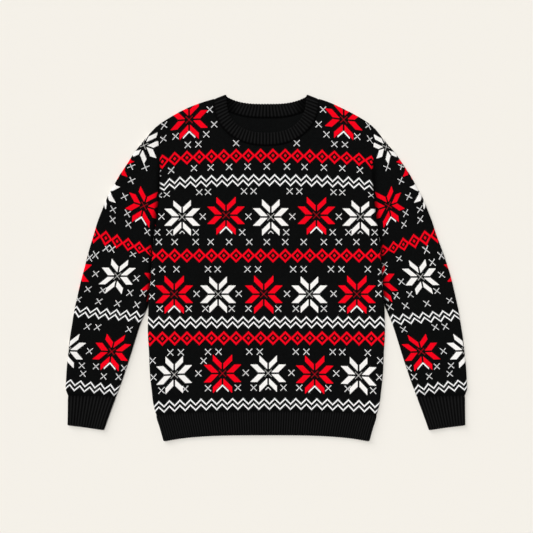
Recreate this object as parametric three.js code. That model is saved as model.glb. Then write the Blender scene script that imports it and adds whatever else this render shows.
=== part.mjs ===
// A christmas sweater of jacquard knit: a crew neck pullover with long sleeves, laid flat on its
// back with the front up. Millimetres: X runs across the garment, Y from hem to neck, Z up.
// Every piece is a wall of knit. The front lies on the back, their side and shoulder edges roll
// over into each other, and each sleeve is a flattened tube beside the body.

import * as THREE from 'three';

// Thickness and lie of the cloth
const WALL = 2.8;
const LAYER_GAP = 0.4;
const SEAM_GAP = 0.3;
const NECK_GAP = 0.75;
const CREASE_GAP = 0.8;
const FLAT_HEIGHT = 2 * WALL + LAYER_GAP;
const FOLD_RADIUS = 5.5;
const FOLD_RISE = 2.6;
const FOLD_SETTLE = 34;

// Body: half widths down the side from the underarm to the free edge of the hem
const SHOULDER = { x: 229.7, y: 298.1 };
const UNDERARM = { x: 237.7, y: 61.8 };
const ARMHOLE_BOW = 10;
const SHOULDER_BOW = 7;
const BODY_SIDE = [
  { y: 61.8, half: 237.7 },
  { y: -26, half: 243.0 },
  { y: -100, half: 248.3 },
  { y: -180, half: 246.2 },
  { y: -260, half: 240.4 },
  { y: -308, half: 232.0 },
  { y: -334, half: 224.2 },
  { y: -363.2, half: 216.0 },
];

// Hem: the rib hangs a little lower at the side seams than in the middle
const HEM_SEAM = { middle: -300.6, drop: 7.4, power: 3 };
const HEM_EDGE = { middle: -351.2, drop: 12, power: 3.2 };

// Neckband: a folded rib strip whose front half lies face up and whose back half shows its inside
const BAND_THICK = 4;
const BAND_BEND = 2.6;
const BAND_LIFT = 0.7;
const BAND_OVERLAP = 34;
const BAND_DESCENT = 40;
const NECK_SEAM = { half: 108.1, endY: 349.9, frontY: 258, frontPower: 2.2, backY: 316.2, backPower: 2.8 };
const NECK_EDGE = { half: 83.3, endY: 359.5, frontY: 283.4, frontPower: 2.45, backY: 344.5, backPower: 3.2 };
const NECK_CORNER = { x: 110.4, y: 354.4 };

// Sleeves, on the +X side: the two folded edges at each section from armhole to cuff seam
const SLEEVE = [
  { down: 0, outerX: 229.7, outerY: 298.1, innerX: 237.7, innerY: 61.8 },
  { down: 48, outerX: 261.4, outerY: 262.2, innerX: 238.4, innerY: 56 },
  { down: 102, outerX: 292.8, outerY: 217.6, innerX: 238.8, innerY: 49 },
  { down: 161, outerX: 323.8, outerY: 166.6, innerX: 239.3, innerY: 40 },
  { down: 212, outerX: 345.2, outerY: 120.2, innerX: 240.0, innerY: 29 },
  { down: 268, outerX: 363.3, outerY: 67.4, innerX: 241.0, innerY: 12 },
  { down: 332, outerX: 380.5, outerY: 5.6, innerX: 243.6, innerY: -24 },
  { down: 402, outerX: 397.5, outerY: -62.3, innerX: 248.6, innerY: -75.7 },
  { down: 458, outerX: 407.6, outerY: -117.3, innerX: 265.5, innerY: -122 },
  { down: 520, outerX: 416.0, outerY: -179, innerX: 285.0, innerY: -184 },
  { down: 582, outerX: 421.0, outerY: -240.6, innerX: 305.5, innerY: -245 },
  { down: 597, outerX: 421.0, outerY: -256, innerX: 310.0, innerY: -257.5 },
  { down: 608, outerX: 417.6, outerY: -266.9, innerX: 314.0, innerY: -269.8 },
];
const CUFF = [
  { down: 0, outerX: 416.9, outerY: -267.3, innerX: 314.6, innerY: -270.2 },
  { down: 35, outerX: 417.0, outerY: -302.1, innerX: 328.2, innerY: -306.0 },
  { down: 63, outerX: 417.5, outerY: -329.8, innerX: 340.6, innerY: -340.7 },
];
const CAP_LENGTH = 212;

// Ribs: each one is a flat crest between narrow grooves
const RIB_GROOVE = 0.7;
const GROOVE_HALF = 0.1;
const EDGE_ROUNDING = 0.9;
const RIB_POINTS = 3;
const HEM_RIBS = 62;
const CUFF_RIBS = 13;
const NECK_RIBS = 70;

// Number of facets
const FOLD_STEPS = 3;
const NECK_COLUMNS = { front: 9, back: 9 };
const SHOULDER_COLUMNS = 4;
const BODY_ROWS = { belowArm: 7, aboveArm: 9 };
const SLEEVE_RINGS = 14;
const SLEEVE_COLUMNS = 5;
const PLAIN_HEM_COLUMNS = 12;
const BAND_SAMPLES = 400;

const mix = (a, b, t) => a + (b - a) * t;
const ease = (t) => {
  const part = Math.min(1, Math.max(0, t));
  return part * part * (3 - 2 * part);
};

// A smooth curve through a table: one column as a function of another
function through(rows, along, column) {
  const slopes = rows.map((row, i) => {
    const before = rows[Math.max(0, i - 1)];
    const after = rows[Math.min(rows.length - 1, i + 1)];
    return (after[column] - before[column]) / (after[along] - before[along]);
  });
  const way = Math.sign(rows[1][along] - rows[0][along]);
  return (place) => {
    let i = 0;
    while (i < rows.length - 2 && way * (place - rows[i + 1][along]) > 0) i += 1;
    const span = rows[i + 1][along] - rows[i][along];
    const t = Math.min(1, Math.max(0, (place - rows[i][along]) / span));
    const low = rows[i][column] + slopes[i] * span * t;
    const high = rows[i + 1][column] - slopes[i + 1] * span * (1 - t);
    return mix(low, high, t * t * (3 - 2 * t));
  };
}

const sideHalf = through(BODY_SIDE, 'y', 'half');

// Half width of the body at a height: the side below the underarm, the armhole seam above it
function bodyHalf(y) {
  if (y <= UNDERARM.y) return sideHalf(y);
  const t = Math.max(0, (SHOULDER.y - y) / (SHOULDER.y - UNDERARM.y));
  return mix(SHOULDER.x, UNDERARM.x, t) - ARMHOLE_BOW * Math.sin(Math.PI * t);
}

// The shoulder line from the neck corner to the shoulder point
function shoulderY(x) {
  const t = (x - NECK_CORNER.x) / (SHOULDER.x - NECK_CORNER.x);
  return mix(NECK_CORNER.y, SHOULDER.y, t) + SHOULDER_BOW * Math.sin(Math.PI * Math.min(1, Math.max(0, t)));
}

const hemLine = (line, across) => line.middle - line.drop * Math.abs(across) ** line.power;

// How far a roll at a folded edge still lifts the cloth at a distance from that edge
const settle = (distance) => 1 - ease((distance - FOLD_RADIUS) / FOLD_SETTLE);

// Height of the garment's top face in plan: it rises where the sides and shoulders are rolled over
function bodyHeight(x, y) {
  const fromSide = bodyHalf(y) - x;
  const belowArm = ease((UNDERARM.y - y) / FOLD_SETTLE);
  const slope = (NECK_CORNER.y - SHOULDER.y) / (SHOULDER.x - NECK_CORNER.x);
  const fromShoulder = (shoulderY(Math.max(x, NECK_CORNER.x)) - y) / Math.hypot(1, slope)
    + Math.max(0, NECK_CORNER.x - x);
  return FLAT_HEIGHT + FOLD_RISE * Math.max(settle(fromSide) * belowArm, settle(fromShoulder));
}

// Insets and rises of skin and lining around a quarter of a fold, from its seam to its crest
function foldStep(turn, halfHeight) {
  const angle = turn * Math.PI / 2;
  return {
    skinInset: FOLD_RADIUS * (1 - Math.cos(angle)),
    skinRise: halfHeight * Math.sin(angle),
    liningInset: FOLD_RADIUS - (FOLD_RADIUS - WALL) * Math.cos(angle),
    liningRise: (halfHeight - WALL) * Math.sin(angle),
  };
}

// One closed wall between a skin and a lining, rimmed along its open borders
function wallGeometry(skin, lining, ring) {
  const rows = skin.length;
  const columns = skin[0].length;
  const points = [...skin.flat(), ...lining.flat()];
  const at = (layer, r, c) => (layer * rows + r) * columns + (c % columns);
  const index = [];
  const quad = (a, b, c, d) => index.push(a, b, c, a, c, d);
  const lastColumn = ring ? columns : columns - 1;
  for (let c = 0; c < lastColumn; c += 1) {
    for (let r = 0; r < rows - 1; r += 1) {
      quad(at(0, r, c), at(0, r, c + 1), at(0, r + 1, c + 1), at(0, r + 1, c));
      quad(at(1, r, c), at(1, r + 1, c), at(1, r + 1, c + 1), at(1, r, c + 1));
    }
    const end = rows - 1;
    quad(at(0, 0, c), at(1, 0, c), at(1, 0, c + 1), at(0, 0, c + 1));
    quad(at(0, end, c), at(0, end, c + 1), at(1, end, c + 1), at(1, end, c));
  }
  for (let r = 0; r < rows - 1 && !ring; r += 1) {
    const end = columns - 1;
    quad(at(0, r, 0), at(0, r + 1, 0), at(1, r + 1, 0), at(1, r, 0));
    quad(at(0, r, end), at(1, r, end), at(1, r + 1, end), at(0, r + 1, end));
  }
  return facingOut(points, index);
}

// A closed strip whose sections are loops, joined end to end
function loopGeometry(loops) {
  const count = loops[0].length;
  const index = [];
  loops.forEach((loop, r) => loop.forEach((point, c) => {
    const next = (r + 1) % loops.length;
    const a = r * count + c;
    const b = r * count + (c + 1) % count;
    const d = next * count + c;
    const e = next * count + (c + 1) % count;
    index.push(a, b, e, a, e, d);
  }));
  return facingOut(loops.flat(), index);
}

// Turns the faces outward, which makes the enclosed volume positive
function facingOut(points, index) {
  let volume = 0;
  const cross = new THREE.Vector3();
  for (let i = 0; i < index.length; i += 3) {
    const [a, b, c] = [points[index[i]], points[index[i + 1]], points[index[i + 2]]];
    volume += a.dot(cross.crossVectors(b, c));
  }
  if (volume < 0) index.reverse();
  const geometry = new THREE.BufferGeometry();
  geometry.setAttribute('position', new THREE.Float32BufferAttribute(points.flatMap((p) => p.toArray()), 3));
  geometry.setIndex(index);
  geometry.computeVertexNormals();
  return geometry;
}

// Depth below the crest at a place counted in ribs
const grooveDepth = (place) => (Math.abs(place - Math.round(place)) < GROOVE_HALF ? RIB_GROOVE : 0);

// Heights of skin and lining of the front or the back at one place. The turn runs round a folded
// edge, from 0 at its seam to 1 at its crest, and is 1 on all of the flat cloth.
function layerHeights(isFront, x, y, turn, groove) {
  const height = bodyHeight(Math.abs(x), y);
  const seam = height / 2 + (isFront ? SEAM_GAP : -SEAM_GAP) / 2;
  const half = isFront ? height - seam : seam;
  const rise = foldStep(turn, half);
  const way = isFront ? 1 : -1;
  return {
    skin: seam + way * (rise.skinRise - groove),
    lining: seam + way * rise.liningRise,
  };
}

// Columns of a body panel on the +X side, from the middle to the side seam: the share of the half
// width, the Y of the top end, the turn round the side fold, and whether the top end is a fold
function panelColumns(isFront) {
  const columns = [];
  const usable = (y) => bodyHalf(y) - FOLD_RADIUS;
  const count = isFront ? NECK_COLUMNS.front : NECK_COLUMNS.back;
  for (let i = 0; i < count; i += 1) {
    const { x, y } = neckSeamPoint(isFront, (i / (count - 0.5)) * Math.PI / 2);
    columns.push({ share: x / usable(y), top: y, turn: 1, rolled: false });
  }
  const corner = NECK_CORNER.x / usable(NECK_CORNER.y);
  columns.push({ share: corner, top: NECK_CORNER.y, turn: 1, rolled: true });
  for (let i = 1; i <= SHOULDER_COLUMNS; i += 1) {
    const share = mix(corner, 1, i / SHOULDER_COLUMNS);
    columns.push({ share, top: shoulderY(share * (SHOULDER.x - FOLD_RADIUS)), turn: 1, rolled: true });
  }
  for (let i = FOLD_STEPS - 1; i >= 0; i -= 1) {
    const inset = foldStep(i / FOLD_STEPS, 0).skinInset;
    columns.push({ share: 1, top: shoulderY(SHOULDER.x - inset), turn: i / FOLD_STEPS, rolled: true });
  }
  return columns;
}

// The seam line of the neck, pushed clear of the neckband, at an angle from the middle to the end
function neckSeamPoint(isFront, angle) {
  const { half, endY, frontY, frontPower, backY, backPower } = NECK_SEAM;
  if (!isFront) {
    const rise = Math.sin(angle) ** backPower;
    return { x: half * Math.sin(angle), y: mix(backY, endY, rise) - NECK_GAP * (1 + rise) };
  }
  const reach = 2 / frontPower;
  return {
    x: (half + NECK_GAP) * Math.sin(angle) ** reach,
    y: endY - (endY - frontY + NECK_GAP) * Math.cos(angle) ** reach,
  };
}

// The front or back of the body, from the hem seam to the shoulders and the neck seam
function bodyPanel(isFront) {
  const half = panelColumns(isFront);
  const mirrored = half.slice(1).reverse().map((column) => ({ ...column, way: -1 }));
  const columns = [...mirrored, ...half.map((column) => ({ ...column, way: 1 }))];
  const rows = [];
  const armRise = (UNDERARM.y - hemLine(HEM_SEAM, 1)) / (SHOULDER.y - FOLD_RADIUS - hemLine(HEM_SEAM, 1));
  const { belowArm, aboveArm } = BODY_ROWS;
  for (let i = 0; i < belowArm; i += 1) rows.push({ rise: armRise * i / belowArm, turn: 1 });
  for (let i = 0; i <= aboveArm; i += 1) rows.push({ rise: mix(armRise, 1, i / aboveArm), turn: 1 });
  for (let i = FOLD_STEPS - 1; i >= 0; i -= 1) rows.push({ rise: 1, turn: i / FOLD_STEPS });

  const skin = [];
  const lining = [];
  for (const row of rows) {
    const skinRow = [];
    const liningRow = [];
    for (const column of columns) {
      const foldRow = foldStep(row.turn, 0);
      const foldColumn = foldStep(column.turn, 0);
      const base = hemLine(HEM_SEAM, column.share) + SEAM_GAP / 2;
      const crest = column.top - FOLD_RADIUS;
      const skinY = row.turn < 1 ? column.top - foldRow.skinInset : mix(base, crest, row.rise);
      const rolledSide = ease((UNDERARM.y - skinY) / FOLD_RADIUS + 0.5);
      const shoulderTurn = column.rolled ? row.turn : 1;
      const liningY = row.turn < 1 && column.rolled ? column.top - foldRow.liningInset : skinY;
      const edge = bodyHalf(skinY) - SEAM_GAP / 2;
      const skinX = column.turn < 1 ? edge - foldColumn.skinInset : column.share * (edge - FOLD_RADIUS);
      const liningX = column.turn < 1
        ? edge - mix(foldColumn.skinInset, foldColumn.liningInset, rolledSide)
        : skinX;
      const turned = layerHeights(isFront, skinX, skinY, Math.min(column.turn, shoulderTurn), 0);
      const level = layerHeights(isFront, skinX, skinY, shoulderTurn, 0);
      const skinZ = mix(level.skin, turned.skin, rolledSide);
      const liningZ = mix(level.lining, turned.lining, rolledSide);
      skinRow.push(new THREE.Vector3(column.way * skinX, skinY, skinZ));
      liningRow.push(new THREE.Vector3(column.way * liningX, liningY, liningZ));
    }
    skin.push(skinRow);
    lining.push(liningRow);
  }
  return wallGeometry(skin, lining, false);
}

// The front or back half of the hem rib. Only the front shows its ribs: the back lies on them.
function hemRib(isFront) {
  const count = isFront ? HEM_RIBS * RIB_POINTS : PLAIN_HEM_COLUMNS;
  const columns = [];
  for (let i = 0; i < FOLD_STEPS; i += 1) columns.push({ share: -1, turn: i / FOLD_STEPS });
  for (let i = 0; i <= count; i += 1) columns.push({ share: mix(-1, 1, i / count), turn: 1 });
  for (let i = FOLD_STEPS - 1; i >= 0; i -= 1) columns.push({ share: 1, turn: i / FOLD_STEPS });
  const rows = [
    { down: 0, thin: 0 },
    { down: 0.96, thin: 0 },
    { down: 1, thin: EDGE_ROUNDING },
  ];
  const skin = [];
  const lining = [];
  for (const row of rows) {
    const skinRow = [];
    const liningRow = [];
    for (const column of columns) {
      const fold = foldStep(column.turn, 0);
      const seamY = hemLine(HEM_SEAM, column.share) - SEAM_GAP / 2;
      const y = mix(seamY, hemLine(HEM_EDGE, column.share), row.down);
      const edge = bodyHalf(y);
      const way = Math.sign(column.share);
      const skinX = column.turn < 1 ? way * (edge - fold.skinInset) : column.share * (edge - FOLD_RADIUS);
      const liningX = column.turn < 1 ? way * (edge - fold.liningInset) : skinX;
      const ribPlace = (column.share + 1) / 2 * HEM_RIBS;
      const groove = isFront && column.turn === 1 ? grooveDepth(ribPlace) : 0;
      const { skin: skinZ, lining: liningZ } = layerHeights(isFront, skinX, y, column.turn, groove);
      const thin = isFront ? row.thin : 0;
      skinRow.push(new THREE.Vector3(skinX, y, column.turn > 0 ? skinZ - thin : skinZ));
      liningRow.push(new THREE.Vector3(liningX, y, liningZ));
    }
    skin.push(skinRow);
    lining.push(liningRow);
  }
  return wallGeometry(skin, lining, false);
}

// A flattened tube on the +X side through a table of folded edges, open at both ends
function flattenedTube({ table, stations, topColumns, bow, innerRise, ribs, thin }) {
  const edge = {
    outerX: through(table, 'down', 'outerX'),
    outerY: through(table, 'down', 'outerY'),
    innerX: through(table, 'down', 'innerX'),
    innerY: through(table, 'down', 'innerY'),
  };
  const skin = [];
  const lining = [];
  for (const down of stations) {
    const outer = new THREE.Vector2(edge.outerX(down), edge.outerY(down));
    const inner = new THREE.Vector2(edge.innerX(down), edge.innerY(down));
    inner.x = Math.max(inner.x, bodyHalf(inner.y) + (down > 0 ? CREASE_GAP : 0));
    const width = outer.distanceTo(inner);
    const rises = { outer: FOLD_RISE, inner: FOLD_RISE * innerRise(down) };
    const middle = width - 2 * FOLD_RADIUS;
    const skinRow = [];
    const liningRow = [];
    const put = (row, inset, z) => {
      const share = inset / width;
      const place = outer.clone().lerp(inner, share);
      place.x += SEAM_GAP / 2 * (down > 0 ? 0 : 1) - bow(down) * Math.sin(Math.PI * share);
      row.push(new THREE.Vector3(place.x, place.y, z));
    };
    const quarter = (fromInner, isTop, turn) => {
      const height = FLAT_HEIGHT + (fromInner ? rises.inner : rises.outer);
      const step = foldStep(turn, height / 2);
      const way = isTop ? 1 : -1;
      const at = (inset) => (fromInner ? width - inset : inset);
      put(skinRow, at(step.skinInset), height / 2 + way * (step.skinRise - (isTop ? thin(down) * turn : 0)));
      put(liningRow, at(step.liningInset), height / 2 + way * step.liningRise);
    };
    const across = (share, isTop) => {
      const inset = FOLD_RADIUS + share * middle;
      const lift = rises.outer * settle(inset) + rises.inner * settle(width - inset);
      const groove = ribs > 0 ? grooveDepth(share * ribs) : 0;
      put(skinRow, inset, isTop ? FLAT_HEIGHT + lift - groove - thin(down) : 0);
      put(liningRow, inset, isTop ? FLAT_HEIGHT + lift - WALL : WALL);
    };
    for (let i = 0; i < FOLD_STEPS; i += 1) quarter(false, true, i / FOLD_STEPS);
    for (let i = 0; i <= topColumns; i += 1) across(i / topColumns, true);
    for (let i = FOLD_STEPS - 1; i >= 0; i -= 1) quarter(true, true, i / FOLD_STEPS);
    for (let i = 1; i < FOLD_STEPS; i += 1) quarter(true, false, i / FOLD_STEPS);
    for (let i = SLEEVE_COLUMNS; i >= 0; i -= 1) across(i / SLEEVE_COLUMNS, false);
    for (let i = FOLD_STEPS - 1; i >= 1; i -= 1) quarter(false, false, i / FOLD_STEPS);
    skin.push(skinRow);
    lining.push(liningRow);
  }
  return wallGeometry(skin, lining, true);
}

// A sleeve: its first ring is the armhole seam, which bows towards the body
function sleeve() {
  const [gather, fullest, seam] = SLEEVE.slice(-3).map((row) => row.down);
  const stations = [];
  for (let i = 0; i < SLEEVE_RINGS; i += 1) stations.push(gather * i / SLEEVE_RINGS);
  stations.push(gather, fullest, seam);
  return flattenedTube({
    table: SLEEVE,
    stations,
    topColumns: SLEEVE_COLUMNS,
    bow: (down) => ARMHOLE_BOW * (1 - ease(down / CAP_LENGTH)),
    innerRise: (down) => ease(down / CAP_LENGTH),
    ribs: 0,
    thin: () => 0,
  });
}

// A cuff: a rib tube that narrows to its free edge
function cuff() {
  const length = CUFF[CUFF.length - 1].down;
  return flattenedTube({
    table: CUFF,
    stations: [0, 0.5 * length, 0.96 * length, length],
    topColumns: CUFF_RIBS * RIB_POINTS,
    bow: () => 0,
    innerRise: () => 1,
    ribs: CUFF_RIBS,
    thin: (down) => (down === length ? EDGE_ROUNDING : 0),
  });
}

// Half of the neckband's course, from the middle of the front over the shoulder to the middle of
// the back: seam edge, free edge, height of the middle of the strip, and the way its outside faces
function neckCourse() {
  const course = [];
  const place = (x, y) => new THREE.Vector2(x, y);
  const axis = {
    seam: place(NECK_SEAM.half, NECK_SEAM.endY),
    edge: place(NECK_EDGE.half, NECK_EDGE.endY),
  };
  const flat = place(0, 0);
  const along = axis.seam.clone().sub(axis.edge).normalize();
  const out = new THREE.Vector2(-along.y, along.x);
  const frontArc = (line, angle) => place(
    line.half * Math.sin(angle) ** (2 / line.frontPower),
    line.endY - (line.endY - line.frontY) * Math.cos(angle) ** (2 / line.frontPower),
  );
  const backArc = (line, angle) => {
    const share = Math.sin(angle);
    return place(line.half * share, mix(line.backY, line.endY, share ** line.backPower));
  };
  const low = BAND_THICK / 2;
  const high = low + 2 * BAND_BEND;
  const lowest = WALL + BAND_LIFT + BAND_THICK / 2;
  for (let i = 0; i <= BAND_SAMPLES; i += 1) {
    const angle = (i / BAND_SAMPLES) * Math.PI / 2;
    const drop = NECK_SEAM.endY - frontArc(NECK_SEAM, angle).y;
    course.push({
      seam: frontArc(NECK_SEAM, angle),
      edge: frontArc(NECK_EDGE, angle),
      z: mix(high, lowest, ease((drop - BAND_OVERLAP) / BAND_DESCENT)),
      out: flat,
      up: 1,
    });
  }
  for (let i = 1; i < BAND_SAMPLES; i += 1) {
    const angle = Math.PI / 2 - (i / BAND_SAMPLES) * Math.PI;
    const swing = out.clone().multiplyScalar(BAND_BEND * Math.cos(angle));
    course.push({
      seam: axis.seam.clone().add(swing),
      edge: axis.edge.clone().add(swing),
      z: low + BAND_BEND * (1 + Math.sin(angle)),
      out: out.clone().multiplyScalar(Math.cos(angle)),
      up: Math.sin(angle),
    });
  }
  for (let i = BAND_SAMPLES; i >= 0; i -= 1) {
    const angle = (i / BAND_SAMPLES) * Math.PI / 2;
    course.push({
      seam: backArc(NECK_SEAM, angle),
      edge: backArc(NECK_EDGE, angle),
      z: low,
      out: flat,
      up: -1,
    });
  }
  return course;
}

// Places along the course, evenly spaced by length
function evenStations(course, count) {
  const lengths = [0];
  for (let i = 1; i < course.length; i += 1) {
    const before = course[i - 1];
    const here = course[i];
    const plan = here.seam.clone().add(here.edge).sub(before.seam).sub(before.edge).length() / 2;
    lengths.push(lengths[i - 1] + Math.hypot(plan, here.z - before.z));
  }
  const total = lengths[lengths.length - 1];
  let i = 0;
  return Array.from({ length: count + 1 }, (_, k) => {
    const wanted = total * k / count;
    while (i < lengths.length - 2 && lengths[i + 1] < wanted) i += 1;
    return course[i];
  });
}

// The neckband: a soft folded strip, its ribs run from the seam to the free edge
function neckband() {
  const half = evenStations(neckCourse(), NECK_RIBS / 2 * RIB_POINTS);
  const mirror = ({ seam, edge, z, out, up }) => ({
    seam: new THREE.Vector2(-seam.x, seam.y),
    edge: new THREE.Vector2(-edge.x, edge.y),
    z,
    out: new THREE.Vector2(-out.x, out.y),
    up,
  });
  const stations = [...half, ...half.slice(1, -1).reverse().map(mirror)];
  const across = [
    { share: 0, sink: 0.5 },
    { share: 0.45, sink: 0 },
    { share: 0.95, sink: 0.7 },
  ];
  const loops = stations.map((station, i) => {
    const groove = grooveDepth(i / RIB_POINTS);
    const point = (share, offset) => {
      const plan = station.seam.clone().lerp(station.edge, share).addScaledVector(station.out, offset);
      return new THREE.Vector3(plan.x, plan.y, station.z + station.up * offset);
    };
    const outShows = ease(station.up + 0.5);
    const inShows = ease(-station.up);
    const outer = across.map(({ share, sink }) => point(share, BAND_THICK / 2 - outShows * (sink + groove)));
    const inner = across.map(({ share, sink }) => point(share, -BAND_THICK / 2 + inShows * (sink + groove)));
    return [...outer, point(1, 0), ...inner.reverse()];
  });
  return loopGeometry(loops);
}

// A mirrored copy for the -X side
function mirroredX(geometry) {
  const copy = geometry.clone().scale(-1, 1, 1);
  copy.setIndex([...copy.index.array].reverse());
  copy.computeVertexNormals();
  return copy;
}

const JACQUARD = { color: 0x151413, roughness: 0.95, metalness: 0 };
const RIB_KNIT = { color: 0x0f0f0f, roughness: 0.95, metalness: 0 };

const sweater = new THREE.Group();
function add(name, geometry, finish) {
  const mesh = new THREE.Mesh(geometry, new THREE.MeshStandardMaterial(finish));
  mesh.name = name;
  sweater.add(mesh);
}

add('front_panel', bodyPanel(true), JACQUARD);
add('back_panel', bodyPanel(false), JACQUARD);
add('left_sleeve', sleeve(), JACQUARD);
add('right_sleeve', mirroredX(sleeve()), JACQUARD);
add('left_cuff', cuff(), RIB_KNIT);
add('right_cuff', mirroredX(cuff()), RIB_KNIT);
add('hem_rib_front', hemRib(true), RIB_KNIT);
add('hem_rib_back', hemRib(false), RIB_KNIT);
add('neckband', neckband(), RIB_KNIT);

export default sweater;
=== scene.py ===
"""A christmas sweater laid flat on a pale floor, seen straight from above.

Lengths are millimetres until a mesh is made. X runs across the garment, Y from hem to neck,
Z up. Every piece of knit is a closed wall on the form of its solid, with finer ribs, rolled
edges and seams. Its knit coordinates (U across the wales, V along the courses, in millimetres)
carry the stitches and the pattern.
"""
import math

import bpy
import numpy as np
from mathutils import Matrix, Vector


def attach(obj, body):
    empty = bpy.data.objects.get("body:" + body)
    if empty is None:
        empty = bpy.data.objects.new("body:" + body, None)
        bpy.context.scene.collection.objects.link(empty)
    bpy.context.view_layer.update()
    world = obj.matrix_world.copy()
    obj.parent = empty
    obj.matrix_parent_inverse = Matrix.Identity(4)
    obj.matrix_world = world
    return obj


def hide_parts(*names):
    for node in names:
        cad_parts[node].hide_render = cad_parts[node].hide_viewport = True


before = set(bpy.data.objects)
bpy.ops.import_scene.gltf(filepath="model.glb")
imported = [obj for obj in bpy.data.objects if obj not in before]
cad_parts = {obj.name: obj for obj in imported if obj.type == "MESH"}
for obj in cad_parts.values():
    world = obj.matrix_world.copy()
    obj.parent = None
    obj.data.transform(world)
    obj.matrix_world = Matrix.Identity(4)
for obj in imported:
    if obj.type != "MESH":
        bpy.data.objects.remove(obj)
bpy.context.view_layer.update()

MM = 0.001
TINY = 1e-9


def table(columns, rows):
    """The rows of a table, each as a dictionary by the names of the columns."""
    return [dict(zip(columns.split(), row)) for row in rows]


# Thickness and lie of the cloth
WALL = 2.8
LAYER_GAP = 0.4
SEAM_GAP = 0.3
NECK_GAP = 0.75
CREASE_GAP = -0.1
CREASE_CLOSES = {"at": 1, "over": 3}
FLAT_HEIGHT = 2 * WALL + LAYER_GAP
FOLD_RADIUS = 5.5
FOLD_RISE = 2.6
FOLD_SETTLE = 34

# Body outline
SHOULDER = (229.7, 298.1)
UNDERARM = (237.7, 61.8)
ARMHOLE_BOW = 10
SHOULDER_BOW = 7
BODY_SIDE = table("y half", [
    (61.8, 237.7), (-26, 243),
    (-100, 248.3), (-180, 246.2),
    (-260, 240.4), (-308, 232),
    (-334, 224.2), (-363.2, 216),
])
HEM_SEAM = {"middle": -300.6, "drop": 7.4, "power": 3}
HEM_EDGE = {"middle": -351.2, "drop": 12, "power": 3.2}

# Neckband
BAND_THICK = 4
BAND_BEND = 2.6
BAND_LIFT = 0.7
BAND_OVERLAP = 34
BAND_DESCENT = 40
BAND_WIDE = 27
NECK_SEAM, NECK_EDGE = table("half end front front_power back back_power", [
    (108.1, 349.9, 258, 2.2, 316.2, 2.8),
    (83.3, 359.5, 283.4, 2.45, 344.5, 3.2),
])
NECK_CORNER = (110.4, 354.4)

# Sleeve and cuff on the +X side: the two folded edges at each section
SLEEVE = table("down outer_x outer_y inner_x inner_y", [
    (0, 229.7, 298.1, 237.7, 61.8), (48, 261.4, 262.2, 238.4, 56),
    (102, 292.8, 217.6, 238.8, 49), (161, 323.8, 166.6, 239.3, 40),
    (212, 345.2, 120.2, 240, 29), (268, 363.3, 67.4, 241, 12),
    (332, 380.5, 5.6, 243.6, -24), (402, 397.5, -62.3, 248.6, -75.7),
    (458, 407.6, -117.3, 265.5, -122), (520, 416, -179, 285, -184),
    (582, 421, -240.6, 305.5, -245), (597, 421, -256, 310, -257.5),
    (608, 417.6, -266.9, 314, -269.8),
])
CUFF = table("down outer_x outer_y inner_x inner_y", [
    (0, 416.9, -267.3, 314.6, -270.2),
    (35, 417, -302.1, 328.2, -306),
    (63, 417.5, -329.8, 340.6, -340.7),
])
CAP_LENGTH = 212

# Courses of the sleeve: a point on its middle line and the tilt of the knit rows there
SLEEVE_COURSES = table("down x y tilt", [
    (-60, 226, 322, 18), (0, 245, 266, 18),
    (137, 297, 141, 17.7), (228, 302, 52, 16.5),
    (256, 306, 24, 6), (300, 313, -20, 0.5),
    (372, 331, -89, 4.5), (460, 356, -175, 2.5),
    (512, 361, -226, 5), (538, 366, -252, 7),
    (600, 372, -314, 4),
])

# The +X shoulder and upper sleeve lie lower and closer in than the other side's: by how much,
# where that begins and over what distance it grows
LIES_LOWER = {"by": 4, "x": 115, "y": 215, "over": 60}
LIES_CLOSER = {"by": 6.5, "x": 245, "over_x": 60, "y": -20, "over_y": 110}
CLOSER_AT_SHOULDER = {"x": 200, "y": 200, "over": 80}

# Ribs
RIB_GROOVE = 1.1
HEM_RIBS = 86
CUFF_RIBS = 30
NECK_RIBS = 74

# How the body's courses hang towards its sides, above and below
SHOULDER_DROOP = {"half": 200, "bow": 6, "y": 110, "over": 70}
SHOULDER_CURL = {"by": 2, "end": 1.15, "power": 12}
HEM_DROOP = {"half": 236, "y": -100, "over": 190}

# Relief of the knit's surface
SEAM_DIP = 1.2
SEAM_SOFT = 4
BAND_DIP_SHARE = 0.6
NECK_DIP = 1.9
NECK_SOFT = 3
WAVE_DEPTH = 0.7
WAVES_CLEAR = 12
WAVES = ((0.021, 0.013, 0.4), (-0.012, 0.034, 2.1), (0.043, -0.017, 4.4), (0.009, 0.055, 1.3))
RIB_ROUND = 0.6
HEM_RIBS_GROW = {"early": 0.06, "over": 0.15}
CUFF_RIBS_GROW = {"early": 3, "over": 9}
BAND_RIBS_GROW = {"early": 1.5, "over": 5}

# Painted shade in creases and at seams: how dark a seam's bottom is painted, from 0 to 1, and how far from
# it that fades
SHADE_DARKNESS = {"neck": 0.9, "shoulder": 0.35, "corner": 0.85, "arm": 0.8, "hem": 0.45, "rib": 0.5}
SHADE_REACH = {"neck": 2.7, "band": 1.7, "arm": 2.6, "sleeve": 7, "hem": 3, "cuff": 4}
# Where the painted shade of a crease begins to darken, and over what distance
NECK_SHADE_DARKENS = {"y": 350, "over": 70}
ARM_SHADE_DARKENS = {"y": 265, "over": 80}
CORNER_SHADE_DARKENS = {"x": 52, "over": 26}

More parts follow.
